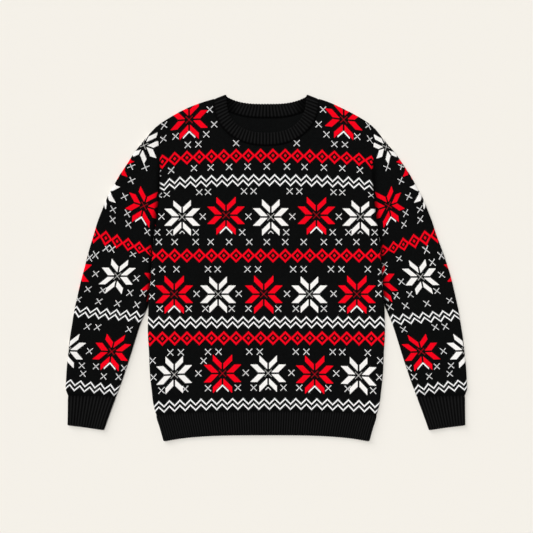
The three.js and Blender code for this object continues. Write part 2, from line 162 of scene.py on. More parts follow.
# Stitches and the pattern's bands
STITCH = 1.84
SLEEVE_GAUGE = 0.95
LEG_SLANT = 1.2
ZIGZAG_STITCHES = 12
ZIGZAG_START = 3
ZIGZAG_APART = 3
LOZENGE_STITCHES = 14
LOZENGE_RIM = {"inside": 2, "outside": 1}
LOZENGE_CORE = 2
RIB_STITCHES = 4
STAR_REACH = 25
CROSS_REACH = 6
PETAL_GAP = 1
PETAL_TIP = 10
PETAL_INNER = 2.5
PETAL_OUTER = 10.5
HEART_REACH = 4
CROSS_ARM = 3.5
RED_ARROW = {"place": 13.6, "thick": 1.2, "reach": 6.8}
WHITE_ARROW = {"place": 16, "thick": 0.5, "reach": 3.4}

# Fineness of the meshes
FOLD_STEPS = 6
RIB_STEPS = 6
NECK_COLUMNS = 22
SHOULDER_COLUMNS = 24
ROWS_BELOW_ARM = 74
ROWS_ABOVE_ARM = 48
SLEEVE_COLUMNS = 40
SLEEVE_RINGS = 118
CUFF_COLUMNS = 150
CUFF_RINGS = 14
HEM_ROWS = 12
BAND_ROWS = 9
BAND_SAMPLES = 400
NECK_SAMPLES = 160
COURSE_SAMPLES = 1200
HALVINGS = 24
RIM_STEPS = 4
TURNS = np.arange(FOLD_STEPS) / FOLD_STEPS

# Shares of the bake layout's width: the wall's grid, and a narrow strip for each side cap
BAKE_WIDE = 0.97
CAP_STRIPS = (0.985, 0.995)
CAP_WIDE = 0.002


def mix(a, b, t):
    return a + (b - a) * t


def joined(*parts):
    """Grids of single values, put together as a grid of points."""
    return np.stack(parts, axis=-1)


def ease(t):
    part = np.clip(t, 0, 1)
    return part * part * (3 - 2 * part)


def through(rows, along, column):
    """A smooth curve through a table: one column as a function of another."""
    place = np.array([row[along] for row in rows], float)
    value = np.array([row[column] for row in rows], float)
    index = np.arange(len(rows))
    before, after = np.maximum(index - 1, 0), np.minimum(index + 1, len(rows) - 1)
    slope = (value[after] - value[before]) / (place[after] - place[before])
    way = 1 if place[-1] > place[0] else -1

    def curve(where):
        found = np.searchsorted(way * place, way * np.asarray(where, float), side="right")
        i = np.clip(found - 1, 0, len(rows) - 2)
        span = place[i + 1] - place[i]
        t = np.clip((where - place[i]) / span, 0, 1)
        low = value[i] + slope[i] * span * t
        high = value[i + 1] - slope[i + 1] * span * (1 - t)
        return mix(low, high, t * t * (3 - 2 * t))

    return curve


side_half = through(BODY_SIDE, "y", "half")


def body_half(y):
    """Half width of the body: the side below the underarm, the armhole seam above it."""
    t = np.clip((SHOULDER[1] - y) / (SHOULDER[1] - UNDERARM[1]), 0, 1)
    armhole = mix(SHOULDER[0], UNDERARM[0], t) - ARMHOLE_BOW * np.sin(math.pi * t)
    return np.where(y <= UNDERARM[1], side_half(y), armhole)


def shoulder_y(x):
    """The shoulder line from the neck corner to the shoulder point."""
    t = (x - NECK_CORNER[0]) / (SHOULDER[0] - NECK_CORNER[0])
    return mix(NECK_CORNER[1], SHOULDER[1], t) + SHOULDER_BOW * np.sin(math.pi * np.clip(t, 0, 1))


def hem_line(line, across):
    return line["middle"] - line["drop"] * np.abs(across) ** line["power"]


def settle(distance):
    """How far a roll at a folded edge still lifts the cloth at a distance from that edge."""
    return 1 - ease((distance - FOLD_RADIUS) / FOLD_SETTLE)


def body_height(x, y):
    """Height of the body's top face where nothing is pressed or raised."""
    from_side = body_half(y) - x
    below_arm = ease((UNDERARM[1] - y) / FOLD_SETTLE)
    slope = (NECK_CORNER[1] - SHOULDER[1]) / (SHOULDER[0] - NECK_CORNER[0])
    from_shoulder = (shoulder_y(np.maximum(x, NECK_CORNER[0])) - y) / math.hypot(1, slope)
    from_shoulder = from_shoulder + np.maximum(0, NECK_CORNER[0] - x)
    return FLAT_HEIGHT + FOLD_RISE * np.maximum(settle(from_side) * below_arm, settle(from_shoulder))


def fold_step(turn, half_height):
    """Insets and rises of skin and lining round a quarter of a fold, from its seam to its crest."""
    angle = np.asarray(turn) * math.pi / 2
    return {
        "skin_inset": FOLD_RADIUS * (1 - np.cos(angle)),
        "skin_rise": half_height * np.sin(angle),
        "lining_inset": FOLD_RADIUS - (FOLD_RADIUS - WALL) * np.cos(angle),
        "lining_rise": (half_height - WALL) * np.sin(angle),
    }


def soft_waves(x, y):
    """Low, broad unevenness of cloth smoothed out by hand, from 0 to 1."""
    return 0.5 + sum(np.sin(a * x + b * y + c) for a, b, c in WAVES) / (2 * len(WAVES))


# Meshes

def wall(name, skin, lining, knit, painted_shade, ring):
    """One closed wall between two grids of points, with its knit coordinates and its painted shade.

    The knit has one more column on a ring; the painted shade is 1 in the bottom of a seam or crease. The
    rows make
    closed loops: skin, end rim, lining, start rim.
    """
    rows, columns = skin.shape[:2]

    def rim(first, second, beyond):
        middle, half = (first + second) / 2, (first - second) / 2
        steps = np.linspace(0, math.pi, RIM_STEPS + 1)[1:-1]
        reach = np.linalg.norm(half, axis=1, keepdims=True)
        way = beyond / np.maximum(np.linalg.norm(beyond, axis=1, keepdims=True), TINY)
        return [middle + half * math.cos(a) + way * reach * math.sin(a) for a in steps]

    end_rim = rim(skin[-1], lining[-1], skin[-1] - skin[-2])
    start_rim = rim(lining[0], skin[0], skin[0] - skin[1])
    points = np.array([*skin, *end_rim, *lining[::-1], *start_rim])
    loops, rim_rows = len(points), len(end_rim)

    def looped(values):
        return np.array([*values, *[values[-1]] * rim_rows, *values[::-1], *[values[0]] * rim_rows])

    knit_rows = looped(knit)
    wrap = columns if ring else columns - 1

    grid = np.meshgrid(np.arange(loops), np.arange(wrap), indexing="ij")
    row, column = (part.ravel() for part in grid)
    next_row = (row + 1) % loops
    corner_rows = joined(row, row, next_row, next_row)
    corner_columns = joined(column, column + 1, column + 1, column)
    quads = corner_rows * columns + corner_columns % columns
    is_skin = row < rows - 1

    caps = [] if ring else side_caps(rows, columns, rim_rows, loops)
    if enclosed(points.reshape(-1, 3), quads) < 0:
        quads, corner_rows, corner_columns = quads[:, ::-1], corner_rows[:, ::-1], corner_columns[:, ::-1]
        caps = [cap[::-1] for cap in caps]
    faces = [tuple(q) for q in quads] + caps
    mesh = bpy.data.meshes.new(name)
    mesh.from_pydata((points.reshape(-1, 3) * MM).tolist(), [], faces)
    piece = new_object(name, mesh)

    knit_uv = knit_rows[corner_rows, np.minimum(corner_columns, knit_rows.shape[1] - 1)]
    bake_uv = bake_layout(points, corner_rows, corner_columns, wrap)
    cap_corners = [corner for cap in caps for corner in cap]
    cap_knit = [knit_rows[corner // columns, corner % columns] for corner in cap_corners]
    cap_bake = [cap_place(corner, columns, loops) for corner in cap_corners]
    set_uv(mesh, "knit", knit_uv.reshape(-1, 2), cap_knit)
    set_uv(mesh, "OFBake", bake_uv.reshape(-1, 2), cap_bake)
    # Painted shade, kept on the points for the knit's colour: 1 in the bottom of a seam or crease
    layer = mesh.attributes.new("painted_shade", "FLOAT", "POINT")
    layer.data.foreach_set("value", looped(painted_shade).astype(np.float32).ravel())
    mesh.shade_smooth()
    face_knit = knit_uv.mean(axis=1)
    return piece, face_knit, is_skin, len(caps)


def new_object(name, data):
    made = bpy.data.objects.new(name, data)
    bpy.context.scene.collection.objects.link(made)
    return made


def enclosed(points, quads):
    """Six times the signed volume that faces enclose: positive where they face outward."""
    a, b, c, d = (points[quads[:, i]] for i in range(4))
    return (np.cross(a, b) * c).sum() + (np.cross(a, c) * d).sum()


def side_caps(rows, columns, rim_rows, loops):
    """Faces that close a panel's two side borders between skin and lining."""
    caps = []
    for column, flip in ((0, True), (columns - 1, False)):
        def at(row):
            return (row % loops) * columns + column
        last = 2 * rows + rim_rows - 1
        strips = [[at(r), at(r + 1), at(last - r - 1), at(last - r)] for r in range(rows - 1)]
        strips.append([at(r) for r in range(rows - 1, rows + rim_rows + 1)])
        strips.append([at(r) for r in range(last, loops + 1)])
        caps += [tuple(s[::-1]) if flip else tuple(s) for s in strips]
    return caps


def cap_place(vertex, columns, loops):
    """Place of a side cap's corner in the strip that the bake layout leaves free."""
    row = vertex // columns
    return CAP_STRIPS[vertex % columns > 0] + CAP_WIDE * (row % 2), row / loops


def bake_layout(points, corner_rows, corner_columns, wrap):
    """Even, flat coordinates from 0 to 1 for the whole wall, by its real lengths."""
    along = np.linalg.norm(np.diff(points, axis=0, append=points[:1]), axis=2).mean(axis=1)
    across = np.linalg.norm(np.diff(points, axis=1, append=points[:, :1]), axis=2).mean(axis=0)
    v = np.concatenate([[0], np.cumsum(along)])
    u = np.concatenate([[0], np.cumsum(across[:wrap])])
    last = corner_rows.max(axis=1, keepdims=True) - corner_rows.min(axis=1, keepdims=True) > 1
    row_place = np.where(last & (corner_rows == 0), len(points), corner_rows)
    return joined(BAKE_WIDE * u[corner_columns] / u[-1], v[row_place] / v[-1])


def set_uv(mesh, name, corners, cap_corners):
    layer = mesh.uv_layers.new(name=name)
    rows = [corners, np.array(cap_corners, float).reshape(-1, 2)]
    layer.data.foreach_set("uv", np.concatenate(rows).astype(np.float32).ravel())


def set_pattern(piece, chart, face_knit, is_skin, cap_count):
    """Stores on each face the nearest star, cross and band, in stitches, on the outside only."""
    face_knit = face_knit / STITCH

    def nearest(motifs, reach):
        *centres, kinds = np.array(motifs, float).T
        centres = joined(*centres)
        away = np.abs(face_knit[:, None, :] - centres[None, :, :]).max(axis=2)
        best = away.argmin(axis=1)
        near = (away[np.arange(len(best)), best] < reach) & is_skin
        return np.column_stack([centres[best], np.where(near, kinds[best], 0)])

    courses, kinds = np.array(chart["bands"], float).T
    best = np.abs(face_knit[:, 1:] - courses[None, :]).argmin(axis=1)
    band = np.column_stack([np.zeros(len(best)), courses[best], np.where(is_skin, kinds[best], 0)])
    for name, rows in (
        ("star", nearest(chart["stars"], STAR_REACH)),
        ("cross", nearest(chart["crosses"], CROSS_REACH)),
        ("band", band),
    ):
        layer = piece.data.attributes.new(name, "FLOAT_VECTOR", "FACE")
        full = np.concatenate([rows, np.zeros((cap_count, 3))]).astype(np.float32)
        layer.data.foreach_set("vector", full.ravel())


def mirrored(skin, lining, knit, painted_shade):
    """The same tube on the -X side, its rings still begun at the underarm's fold."""
    flip = np.array([-1, 1, 1])
    skin, lining = (np.roll(grid[:, ::-1], 1, axis=1) * flip for grid in (skin, lining))
    return skin, lining, knit[:, ::-1] * flip[:2], np.roll(painted_shade[:, ::-1], 1, axis=1)


def laid_shift(x, y):
    """How much closer in and how much lower a place on the +X side lies."""
    near, low, top = LIES_CLOSER, LIES_LOWER, CLOSER_AT_SHOULDER
    begin = mix(near["x"], top["x"], ease((y - top["y"]) / top["over"]))
    closer = near["by"] * ease((x - begin) / near["over_x"]) * ease((y - near["y"]) / near["over_y"])
    return closer, low["by"] * ease((x - low["x"]) / low["over"]) * ease((y - low["y"]) / low["over"])


def laid_in(skin, lining, knit, painted_shade):
    """A shape with its +X shoulder and upper sleeve lower and closer in, as the garment was laid."""
    def moved(points):
        x, y, z = np.moveaxis(points, -1, 0)
        closer, lower = laid_shift(x, y)
        return joined(x - closer, y - lower, z)

    return moved(skin), moved(lining), knit, painted_shade


def pressed(skin, lining, depth):
    """The skin moved towards its lining."""
    way = lining - skin
    return skin + way / np.linalg.norm(way, axis=-1, keepdims=True) * np.asarray(depth)[..., None]


def seam_dip(distance):
    """How deep a sewn seam draws the knit in, at a distance from it."""
    return SEAM_DIP * fading(distance, SEAM_SOFT)


def fading(distance, reach):
    """1 at a line, fading to 0 away from it."""
    return np.exp(-(distance / reach) ** 2)


def neck_painted_shade(y):
    """How dark the painted shade in the neck seam's crease is, from the shoulders down to the middle of the
    front.
    """
    down = ease((NECK_SHADE_DARKENS["y"] - y) / NECK_SHADE_DARKENS["over"])
    return mix(SHADE_DARKNESS["shoulder"], SHADE_DARKNESS["neck"], down)


def arm_shade_shows(y):
    """How much of the painted shade in the armhole's crease shows: nothing on the shoulder, all of it
    further down.
    """
    return ease((ARM_SHADE_DARKENS["y"] - y) / ARM_SHADE_DARKENS["over"])


def rib_dip(place, down, early, over):
    """Depth below the crest at a place counted in ribs, growing down from the seam.

    The ribs are rounded, between narrow grooves.
    """
    return RIB_GROOVE * (1 - np.abs(np.sin(math.pi * place)) ** RIB_ROUND) * ease((down + early) / over)


def fold_length(half_height):
    """Length of the knit round a quarter of a fold."""
    return math.pi / 2 * np.sqrt((FOLD_RADIUS**2 + half_height**2) / 2)


# Body and hem

def neck_arc(line, is_front, angle, gap=0):
    """A neckline, a gap outside it, at an angle from the middle to the end."""
    if is_front:
        reach = 2 / line["front_power"]
        x = (line["half"] + gap) * np.sin(angle) ** reach
        return x, line["end"] - (line["end"] - line["front"] + gap) * np.cos(angle) ** reach
    rise = np.sin(angle) ** line["back_power"]
    return line["half"] * np.sin(angle), mix(line["back"], line["end"], rise) - gap * (1 + rise)


def body_droop(x, y):
    """How far the courses of the body hang down towards its sides."""
    up, curl, low = SHOULDER_DROOP, SHOULDER_CURL, HEM_DROOP
    far = np.abs(x) / up["half"]
    curled = curl["by"] * np.minimum(far, curl["end"]) ** curl["power"]
    top = (up["bow"] * far**2 + curled) * ease((y - up["y"]) / up["over"])
    bottom = HEM_SEAM["drop"] * (np.abs(x) / low["half"]) ** HEM_SEAM["power"]
    return top + bottom * ease((low["y"] - y) / low["over"])


def layer_heights(is_front, x, y, turn):
    """Heights of skin and lining; the turn is 0 at a fold's seam and 1 from its crest on."""
    way = 1 if is_front else -1
    height = body_height(np.abs(x), y)
    seam = height / 2 + way * SEAM_GAP / 2
    half = height - seam if is_front else seam
    rise = fold_step(turn, half)
    return seam + way * rise["skin_rise"], seam + way * rise["lining_rise"], half


def panel_columns(is_front):
    """Columns of a panel's +X half: share of the half width, top end, turn, rolled at the top."""
    angle = np.arange(NECK_COLUMNS) / (NECK_COLUMNS - 0.5) * math.pi / 2
    neck_x, neck_y = neck_arc(NECK_SEAM, is_front, angle, NECK_GAP)
    corner = NECK_CORNER[0] / (body_half(NECK_CORNER[1]) - FOLD_RADIUS)
    shares = mix(corner, 1, np.arange(1, SHOULDER_COLUMNS + 1) / SHOULDER_COLUMNS)
    fold_x = SHOULDER[0] - fold_step(TURNS[::-1], 0)["skin_inset"]
    share = [neck_x / (body_half(neck_y) - FOLD_RADIUS), [corner], shares, np.ones(FOLD_STEPS)]
    shoulder = shoulder_y(shares * (SHOULDER[0] - FOLD_RADIUS))
    top = [neck_y, [NECK_CORNER[1]], shoulder, shoulder_y(fold_x)]
    turn = [np.ones(NECK_COLUMNS + 1 + SHOULDER_COLUMNS), TURNS[::-1]]
    rolled = np.arange(NECK_COLUMNS + 1 + SHOULDER_COLUMNS + FOLD_STEPS) >= NECK_COLUMNS
    return np.concatenate(share), np.concatenate(top), np.concatenate(turn), rolled


def both_sides(values):
    """A half's columns, mirrored to the -X side and joined."""
    return np.concatenate([values[:0:-1], values])


def body_panel(is_front):
    """Skin, lining and knit coordinates of the front or back."""
    share, top, col_turn, rolled = (both_sides(v) for v in panel_columns(is_front))
    way = np.where(np.arange(len(share)) < len(share) // 2, -1, 1)
    base_end = hem_line(HEM_SEAM, 1)
    arm_rise = (UNDERARM[1] - base_end) / (SHOULDER[1] - FOLD_RADIUS - base_end)
    below = arm_rise * np.arange(ROWS_BELOW_ARM) / ROWS_BELOW_ARM
    above = mix(arm_rise, 1, np.arange(ROWS_ABOVE_ARM + 1) / ROWS_ABOVE_ARM)
    rise = np.concatenate([below, above, np.ones(FOLD_STEPS)])[:, None]
    row_turn = np.concatenate([np.ones(len(rise) - FOLD_STEPS), TURNS[::-1]])[:, None]

    row_fold, col_fold = fold_step(row_turn, 0), fold_step(col_turn, 0)
    in_fold = row_turn < 1
    base = hem_line(HEM_SEAM, share) + SEAM_GAP / 2
    y = np.where(in_fold, top - row_fold["skin_inset"], mix(base, top - FOLD_RADIUS, rise))
    rolled_side = ease((UNDERARM[1] - y) / FOLD_RADIUS + 0.5)
    shoulder_turn = np.where(rolled, row_turn, 1)
    lining_y = np.where(in_fold & rolled, top - row_fold["lining_inset"], y)
    edge = body_half(y) - SEAM_GAP / 2
    at_side = col_turn < 1
    x = np.where(at_side, edge - col_fold["skin_inset"], share * (edge - FOLD_RADIUS))
    side_inset = mix(col_fold["skin_inset"], col_fold["lining_inset"], rolled_side)
    lining_x = np.where(at_side, edge - side_inset, x)
    turned = layer_heights(is_front, x, y, np.minimum(col_turn, shoulder_turn))
    level = layer_heights(is_front, x, y, shoulder_turn)
    z = mix(level[0], turned[0], rolled_side)
    lining_z = mix(level[1], turned[1], rolled_side)

    skin = joined(way * x, y, z)
    lining = joined(way * lining_x, lining_y, lining_z)
    flat_x = np.where(at_side, edge - FOLD_RADIUS + fold_length(turned[2]) * (1 - col_turn), x)
    knit_x = way * mix(x, flat_x, rolled_side)
    crest_y = top - FOLD_RADIUS + fold_length(level[2]) * (1 - row_turn)
    knit_y = np.where(in_fold & rolled, crest_y, y)
    knit = joined(knit_x, knit_y + body_droop(knit_x, knit_y))

    hem_away = y - base
    arm_away = edge - x + np.maximum(0, UNDERARM[1] - y)
    angle = np.linspace(0, math.pi / 2, NECK_SAMPLES)
    neck_x, neck_y = neck_arc(NECK_SEAM, is_front, angle, NECK_GAP)
    neck_away = np.hypot(x[..., None] - neck_x, y[..., None] - neck_y).min(axis=-1)
    dip = seam_dip(np.minimum(hem_away, arm_away))
    neck_dip = NECK_DIP * fading(neck_away, NECK_SOFT)
    # Painted shade along the armhole, the neck seam and the hem seam
    arm = SHADE_DARKNESS["arm"] * fading(arm_away, SHADE_REACH["arm"]) * arm_shade_shows(y)
    neck = (neck_painted_shade(y) if is_front else SHADE_DARKNESS["neck"]) * fading(neck_away, SHADE_REACH["neck"])
    painted_shade = np.maximum(np.maximum(neck, arm), SHADE_DARKNESS["hem"] * fading(hem_away, SHADE_REACH["hem"]))
    if is_front:
        dip = np.maximum(dip, neck_dip)
        away = np.maximum(0, 1 - dip / SEAM_DIP) * ease((edge - x) / WAVES_CLEAR)
        dip = dip + WAVE_DEPTH * soft_waves(way * x, y) * away
        return pressed(skin, lining, dip), lining, knit, painted_shade
    return pressed(skin, lining, dip), pressed(lining, skin, neck_dip), knit, painted_shade


def hem_rib(is_front):
    """Skin, lining and knit coordinates of one half of the hem rib."""
    count = HEM_RIBS * RIB_STEPS
    share = np.concatenate([-np.ones(FOLD_STEPS), np.linspace(-1, 1, count + 1), np.ones(FOLD_STEPS)])
    turn = np.concatenate([TURNS, np.ones(count + 1), TURNS[::-1]])
    down = np.linspace(0, 1, HEM_ROWS)[:, None]
    fold = fold_step(turn, 0)
    seam_y = hem_line(HEM_SEAM, share) - SEAM_GAP / 2
    y = mix(seam_y, hem_line(HEM_EDGE, share) + WALL / 2, down)
    edge = body_half(y)
    way = np.sign(share)
    at_side = turn < 1
    x = np.where(at_side, way * (edge - fold["skin_inset"]), share * (edge - FOLD_RADIUS))
    lining_x = np.where(at_side, way * (edge - fold["lining_inset"]), x)
    z, lining_z, half = layer_heights(is_front, x, y, turn)
    around = np.where(at_side, way * (edge - FOLD_RADIUS + fold_length(half) * (1 - turn)), x)
    skin = joined(x, y, z)
    lining = joined(lining_x, y, lining_z)
    place = (around / (edge - FOLD_RADIUS) + 1) / 2 * HEM_RIBS
    knit = joined(place * RIB_STITCHES * STITCH, y)
    away = down * np.abs(seam_y - y[-1])
    dip = rib_dip(place, down, **HEM_RIBS_GROW) + seam_dip(away)
    # Painted shade along the hem rib's seam
    painted_shade = SHADE_DARKNESS["rib"] * fading(away, SHADE_REACH["hem"])
    return pressed(skin, lining, dip), lining, knit, painted_shade


# Sleeve and cuff

fine_down = np.linspace(SLEEVE_COURSES[0]["down"], SLEEVE_COURSES[-1]["down"], COURSE_SAMPLES)
course_x, course_y, course_tilt = (
    through(SLEEVE_COURSES, "down", column)(fine_down) for column in ("x", "y", "tilt")
)
course_tilt = np.radians(course_tilt)
step_v = np.diff(course_y) * np.cos(course_tilt[1:]) - np.diff(course_x) * np.sin(course_tilt[1:])
course_v = np.concatenate([[0], np.cumsum(step_v)])


def sleeve_knit(x, y):
    """Knit coordinates of a point of the +X sleeve in plan: the course through it, by halving."""
    low, high = np.zeros(np.shape(x)), np.full(np.shape(x), COURSE_SAMPLES - 1.0)
    steps = np.arange(COURSE_SAMPLES)
    for _ in range(HALVINGS):
        middle = (low + high) / 2
        tilt = np.interp(middle, steps, course_tilt)
        away_x, away_y = x - np.interp(middle, steps, course_x), y - np.interp(middle, steps, course_y)
        above = away_y * np.cos(tilt) - away_x * np.sin(tilt) > 0
        high = np.where(above, middle, high)
        low = np.where(above, low, middle)
    u = away_x * np.cos(tilt) + away_y * np.sin(tilt)
    return joined(u, np.interp(middle, steps, course_v))


def flattened_tube(sections, down, across, past_cap):
    """Skin, lining and knit coordinates of a tube, its rings begun at the underarm's fold.

    A ring runs under the sleeve to the outer fold and back over the top. past_cap grows from 0
    at the armhole to 1 where the sleeve's cap ends: the bow fades, and the inner fold rises.
    """
    edge = {column: through(sections, "down", column) for column in sections[0]}
    flat = np.linspace(0, 1, across + 1)
    zero = np.zeros(FOLD_STEPS)
    # Each place round the ring: its share across, 1 at the inner fold, and its turn round a fold
    share = np.concatenate([zero + 1, 1 - flat, zero[1:], zero, flat, zero[1:] + 1])
    turn = np.concatenate([TURNS, np.ones(across + 1), TURNS[:0:-1]] * 2)
    below = FOLD_STEPS + across + 1 + FOLD_STEPS - 1
    on_top = np.arange(len(share)) >= below
    from_inner = share > 0.5
    at_fold = turn < 1

    outer = joined(edge["outer_x"](down), edge["outer_y"](down))
    inner = joined(edge["inner_x"](down), edge["inner_y"](down))
    beside = body_half(inner[..., 1])
    apart = inner[..., 0] - beside
    closes, floor = CREASE_CLOSES, np.where(down > 0, CREASE_GAP, 0)
    inner[..., 0] = beside + np.maximum(apart * ease((apart - closes["at"]) / closes["over"]), floor)
    width = np.linalg.norm(outer - inner, axis=-1)
    rise_outer, rise_inner = FOLD_RISE, FOLD_RISE * past_cap(down)
    bow = ARMHOLE_BOW * (1 - past_cap(down))
    height = FLAT_HEIGHT + np.where(from_inner, rise_inner, rise_outer)
    step = fold_step(turn, height / 2)
    flat_inset = FOLD_RADIUS + share * (width - 2 * FOLD_RADIUS)
    lift = rise_outer * settle(flat_inset) + rise_inner * settle(width - flat_inset)
    top = FLAT_HEIGHT + lift
    way = np.where(on_top, 1, -1)

    def inset(fold_inset):
        return np.where(at_fold, np.where(from_inner, width - fold_inset, fold_inset), flat_inset)

    def place(ring_inset, z):
        part = (ring_inset / width)[..., None]
        plan = outer + (inner - outer) * part
        shift = np.where(down > 0, 0, SEAM_GAP / 2) - bow * np.sin(math.pi * part[..., 0])
        return joined(plan[..., 0] + shift, plan[..., 1], z)

    skin_z = np.where(at_fold, height / 2 + way * step["skin_rise"], np.where(on_top, top, 0))
    lining_z = np.where(at_fold, height / 2 + way * step["lining_rise"], np.where(on_top, top - WALL, WALL))
    skin = place(inset(step["skin_inset"]), skin_z)
    lining = place(inset(step["lining_inset"]), lining_z)

    # Knit coordinates: measured on top, carried round the outer fold and back beneath
    quarter_length = fold_length(height / 2)
    crest = place(inset(FOLD_RADIUS), 0 * flat_inset)
    plain = sleeve_knit(crest[..., 0], crest[..., 1])
    over = np.where(at_fold, quarter_length * (1 - turn), 0) * np.where(from_inner, -1, 1)
    u = plain[..., 0] + over
    outer_column = below + FOLD_STEPS
    turn_line = plain[:, outer_column, 0][:, None] + fold_length((FLAT_HEIGHT + FOLD_RISE) / 2)
    knit = joined(np.where(on_top, u, 2 * turn_line - u), plain[..., 1])
    closing = joined(plain[:, 0, 0] - quarter_length[:, 0], plain[:, 0, 1])
    return skin, lining, np.concatenate([knit, closing[:, None]], axis=1)


def sleeve():
    """The sleeve on the +X side: its first ring is the armhole seam."""
    gather, fullest, seam = (row["down"] for row in SLEEVE[-3:])
    upper = np.arange(SLEEVE_RINGS) * gather / SLEEVE_RINGS
    stations = [*upper, gather, mix(gather, fullest, 0.5), fullest, seam]
    down = np.array(stations)[:, None]
    skin, lining, knit = flattened_tube(SLEEVE, down, SLEEVE_COLUMNS, lambda d: ease(d / CAP_LENGTH))
    dip = seam_dip(np.minimum(down, seam - down)) * np.ones(skin.shape[1])
    top = skin[..., 2] > FLAT_HEIGHT / 2
    body_away = skin[..., 0] - body_half(skin[..., 1])
    waves = WAVE_DEPTH * soft_waves(skin[..., 0], skin[..., 1])
    waves = waves * (1 - dip / SEAM_DIP) * ease(body_away / WAVES_CLEAR)
    # Painted shade beside the body in the armhole's crease, and at the cuff seam
    painted_shade = arm_shade_shows(skin[..., 1]) * fading(np.minimum(np.abs(body_away), down), SHADE_REACH["sleeve"])
    painted_shade = np.maximum(painted_shade, SHADE_DARKNESS["rib"] * fading(seam - down, SHADE_REACH["cuff"]))
    return pressed(skin, lining, dip + np.where(top, waves, 0)), lining, knit / SLEEVE_GAUGE, painted_shade


def cuff():
    """The rib cuff on the +X side, which narrows to its free edge."""
    down = np.linspace(0, CUFF[-1]["down"] - WALL / 2, CUFF_RINGS)[:, None]
    skin, lining, knit = flattened_tube(CUFF, down, CUFF_COLUMNS, np.ones_like)
    u = knit[..., 0]
    place = (u - u[:, -1:]) / (u[:, :1] - u[:, -1:]) * CUFF_RIBS
    knit = joined(place * RIB_STITCHES * STITCH, knit[..., 1])
    dip = rib_dip(place[:, :-1], down, **CUFF_RIBS_GROW) + seam_dip(down)
    # Painted shade along the cuff seam
    painted_shade = SHADE_DARKNESS["rib"] * fading(down, SHADE_REACH["cuff"]) * np.ones(skin.shape[1])
    return pressed(skin, lining, dip), lining, knit, painted_shade


# Neckband

def neck_course():
    """Half of the band's course, middle of the front to middle of the back.

    Seam edge, free edge, height of the strip's middle, and the way its outside faces.
    """
    low = BAND_THICK / 2
    high = low + 2 * BAND_BEND
    lowest = WALL + BAND_LIFT + low
    seam_end = np.array([NECK_SEAM["half"], NECK_SEAM["end"]])
    edge_end = np.array([NECK_EDGE["half"], NECK_EDGE["end"]])
    along = (seam_end - edge_end) / np.linalg.norm(seam_end - edge_end)
    out = np.array([-along[1], along[0]])

    angle = np.linspace(0, math.pi / 2, BAND_SAMPLES + 1)
    ones = np.ones(len(angle))
    drop = NECK_SEAM["end"] - neck_arc(NECK_SEAM, True, angle)[1]
    front_z = mix(high, lowest, ease((drop - BAND_OVERLAP) / BAND_DESCENT))
    bend = math.pi / 2 - np.arange(1, BAND_SAMPLES) / BAND_SAMPLES * math.pi
    swing = BAND_BEND * np.cos(bend)[:, None] * out

    def course(line, end):
        front, back = neck_arc(line, True, angle), neck_arc(line, False, angle[::-1])
        return [joined(*front), end + swing, joined(*back)]

    z = [front_z, low + BAND_BEND * (1 + np.sin(bend)), low * ones]
    level = np.zeros((len(angle), 2))
    facing = [level, np.cos(bend)[:, None] * out, level]
    up = [ones, np.sin(bend), -ones]
    parts = (course(NECK_SEAM, seam_end), course(NECK_EDGE, edge_end), z, facing, up)
    return [np.concatenate(part) for part in parts]


def neckband():
    """The neckband: a soft folded strip whose ribs run from the seam to the free edge."""
    seam, edge, z, facing, up = neck_course()
    middle = (seam + edge) / 2
    steps = np.hypot(np.linalg.norm(np.diff(middle, axis=0), axis=1), np.diff(z))
    length = np.concatenate([[0], np.cumsum(steps)])
    places = np.linspace(0, length[-1], NECK_RIBS // 2 * RIB_STEPS + 1)

    def sampled(values):
        columns = values.reshape(len(values), -1)
        picked = joined(*(np.interp(places, length, column) for column in columns.T))
        turned = picked * ([-1, 1] if picked.shape[1] == 2 else 1)
        return np.concatenate([picked, turned[-2:0:-1]])

    seam, edge, z, facing, up = (sampled(part) for part in (seam, edge, z, facing, up))
    share = np.linspace(0, 1 - BAND_THICK / 2 / BAND_WIDE, BAND_ROWS)[:, None, None]
    plan = seam + (edge - seam) * share
    half = BAND_THICK / 2

    def face(way):
        height = np.broadcast_to(z + way * up, plan.shape[:2] + (1,))
        return np.concatenate([plan + way * facing, height], axis=-1)

    outer, inner = face(half), face(-half)
    station = np.arange(len(seam))
    away = share[..., 0] * BAND_WIDE
    dip = rib_dip(station / RIB_STEPS, away, **BAND_RIBS_GROW) + BAND_DIP_SHARE * seam_dip(away)
    station_u = np.append(station, len(seam)) / RIB_STEPS * RIB_STITCHES * STITCH
    knit = joined(*np.broadcast_arrays(station_u, away))
    is_back = up[:, 0] < 0
    # Painted shade in the band's inner corners and along its seam
    inside_corner_shade = is_back * ease((np.abs(plan[..., 0]) - CORNER_SHADE_DARKENS["x"]) / CORNER_SHADE_DARKENS["over"])
    seam_painted_shade = np.where(is_back, SHADE_DARKNESS["neck"], neck_painted_shade(plan[..., 1]))
    painted_shade = np.maximum(seam_painted_shade * fading(away, SHADE_REACH["band"]), SHADE_DARKNESS["corner"] * inside_corner_shade)
    return pressed(outer, inner, dip), pressed(inner, outer, dip), knit, painted_shade


# Pattern charts: stars, small crosses and bands, by their places in plan on the +X side's scale

WHITE, RED, WHITE_PLAIN, RED_PLAIN = 1, 2, 3, 4
ZIGZAG, LOZENGES = 1, 2
# A motif further than this inside the sleeve's outer fold shows again beneath
STAR_CLEAR = 48
CROSS_CLEAR = 9

